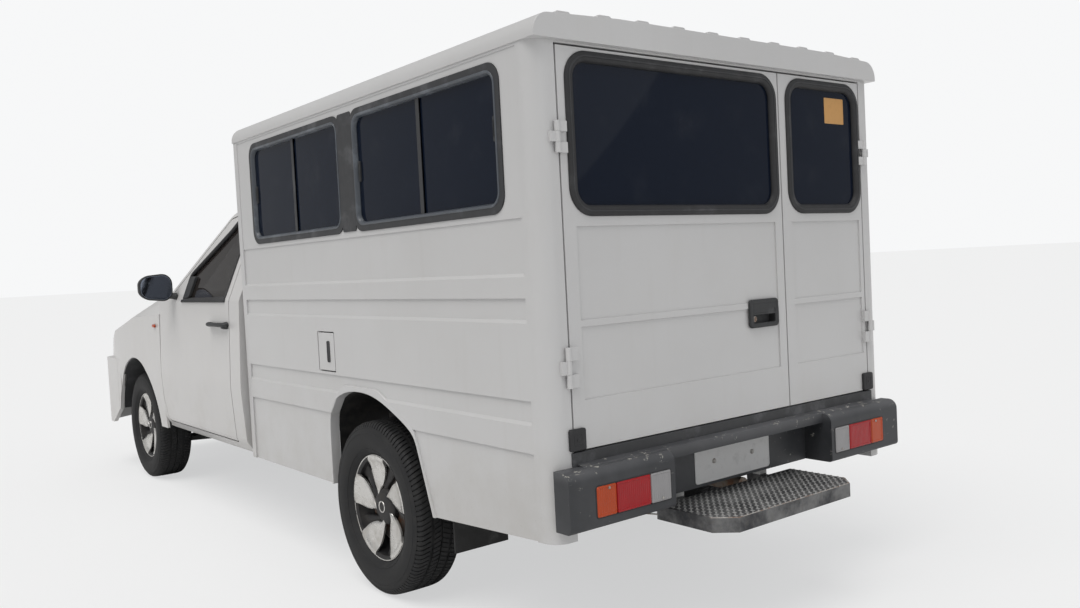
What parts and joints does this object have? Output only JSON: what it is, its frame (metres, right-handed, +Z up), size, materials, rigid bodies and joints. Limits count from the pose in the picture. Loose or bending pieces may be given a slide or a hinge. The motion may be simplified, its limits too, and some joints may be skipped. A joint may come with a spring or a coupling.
{
  "type": "single cab pickup truck with a closed rear body",
  "caption": "Single cab pickup truck with a closed, windowed rear body, twin rear doors, rear step and steered wheels.",
  "frame": {"origin": "on the ground under the middle of the overall box, rear step to front bumper", "axes": "+X forwards, +Y to the vehicle's left, +Z up; wheels stand on Z = 0"},
  "size_m": [5.39, 2.102, 1.972],
  "materials": {
    "body_paint": "gloss white paint, lightly dusty",
    "cab_paint": "gloss white paint",
    "black_plastic": "grained",
    "bumper_black": "satin, scuffed",
    "chassis_black": "matt, dusty",
    "cast_iron": "rusty",
    "tyre_rubber": "matt",
    "alloy": "machined and painted",
    "tinted_glass": "dark tint",
    "clear_glass": "clear",
    "lamp_lens": "moulded lens",
    "head_lens": "clear lens",
    "tread_plate": "worn chequer plate",
    "engine_grey": "cast",
    "exhaust_steel": "heat stained",
    "floor_lining": "ribbed mat",
    "seat_cover": "woven",
    "flap_rubber": "matt"
  },
  "bodies": {
    "root": {"arch_liners": "black_plastic", "box_floor": "floor_lining", "box_front_wall": "body_paint", "box_rear_frame": "body_paint", "box_roof": "body_paint", "box_side_left": "body_paint", "box_side_right": "body_paint", "cab_back_glass": "clear_glass", "cab_seat": "seat_cover", "cab_shell": "cab_paint", "chassis_cross": "chassis_black", "chassis_rails": "chassis_black", "dashboard": "black_plastic", "engine_block": "engine_grey", "exhaust": "exhaust_steel", "front_bumper": "cab_paint", "front_fenders": "cab_paint", "front_panel": "chassis_black", "front_suspension": "chassis_black", "fuel_tank": "black_plastic", "grille": "black_plastic", "headlamps": "head_lens", "leaf_springs": "chassis_black", "mud_flaps": "flap_rubber", "rear_axle": "chassis_black", "rear_bumper": "bumper_black", "rear_step": "tread_plate", "side_glass": "tinted_glass", "side_window_frames": "black_plastic", "steering_wheel": "black_plastic", "tail_lamps": "lamp_lens", "windscreen": "clear_glass"},
    "wheel_front_left": {"tyre_front_left": "tyre_rubber", "wheel_front_left": "alloy", "brake_disc_front_left": "cast_iron"},
    "wheel_front_right": {"tyre_front_right": "tyre_rubber", "wheel_front_right": "alloy", "brake_disc_front_right": "cast_iron"},
    "wheel_rear_left": {"tyre_rear_left": "tyre_rubber", "wheel_rear_left": "alloy", "brake_drum_rear_left": "cast_iron"},
    "wheel_rear_right": {"tyre_rear_right": "tyre_rubber", "wheel_rear_right": "alloy", "brake_drum_rear_right": "cast_iron"},
    "knuckle_left": {"knuckle_left": "cast_iron"},
    "knuckle_right": {"knuckle_right": "cast_iron"},
    "cab_door_left": {"cab_door_left": "cab_paint", "door_glass_left": "tinted_glass", "door_fittings_left": "black_plastic"},
    "cab_door_right": {"cab_door_right": "cab_paint", "door_glass_right": "tinted_glass", "door_fittings_right": "black_plastic"},
    "hood": {"hood": "cab_paint"},
    "rear_door_left": {"rear_door_left": "body_paint", "rear_glass_left": "tinted_glass", "rear_door_handle": "black_plastic"},
    "rear_door_right": {"rear_door_right": "body_paint", "rear_glass_right": "tinted_glass"},
    "fuel_flap": {"fuel_flap": "body_paint"}
  },
  "joints": [
    {"name": "steer_left", "type": "hinge", "parent": "root", "child": "knuckle_left", "pos_m": [1.71, 0.662, 0.333], "axis": [0, 0, 1], "range_deg": [-33, 33]},
    {"name": "roll_front_left", "type": "hinge", "parent": "knuckle_left", "child": "wheel_front_left", "pos_m": [1.71, 0.74, 0.333], "axis": [0, 1, 0], "continuous": true},
    {"name": "roll_rear_left", "type": "hinge", "parent": "root", "child": "wheel_rear_left", "pos_m": [-1.375, 0.755, 0.333], "axis": [0, 1, 0], "continuous": true},
    {"name": "cab_door_left_open", "type": "hinge", "parent": "root", "child": "cab_door_left", "pos_m": [1.151, 0.87, 0.8], "axis": [0, 0, -1], "range_deg": [0, 65]},
    {"name": "rear_door_left_open", "type": "hinge", "parent": "root", "child": "rear_door_left", "pos_m": [-2.487, 0.77, 1.2], "axis": [0, 0, -1], "range_deg": [0, 180]},
    {"name": "steer_right", "type": "hinge", "parent": "root", "child": "knuckle_right", "pos_m": [1.71, -0.662, 0.333], "axis": [0, 0, 1], "range_deg": [-33, 33]},
    {"name": "roll_front_right", "type": "hinge", "parent": "knuckle_right", "child": "wheel_front_right", "pos_m": [1.71, -0.74, 0.333], "axis": [0, 1, 0], "continuous": true},
    {"name": "roll_rear_right", "type": "hinge", "parent": "root", "child": "wheel_rear_right", "pos_m": [-1.375, -0.755, 0.333], "axis": [0, 1, 0], "continuous": true},
    {"name": "cab_door_right_open", "type": "hinge", "parent": "root", "child": "cab_door_right", "pos_m": [1.151, -0.87, 0.8], "axis": [0, 0, 1], "range_deg": [0, 65]},
    {"name": "rear_door_right_open", "type": "hinge", "parent": "root", "child": "rear_door_right", "pos_m": [-2.487, -0.77, 1.2], "axis": [0, 0, 1], "range_deg": [0, 180]},
    {"name": "hood_open", "type": "hinge", "parent": "root", "child": "hood", "pos_m": [1.477, 0, 1.124], "axis": [0, -1, 0], "range_deg": [0, 50]},
    {"name": "fuel_flap_open", "type": "hinge", "parent": "root", "child": "fuel_flap", "pos_m": [-0.962, 0.842, 0.921], "axis": [0, 0, -1], "range_deg": [0, 100]}
  ],
  "couplings": [
    {"joint": "steer_right", "follows": "steer_left", "ratio": 1}
  ]
}
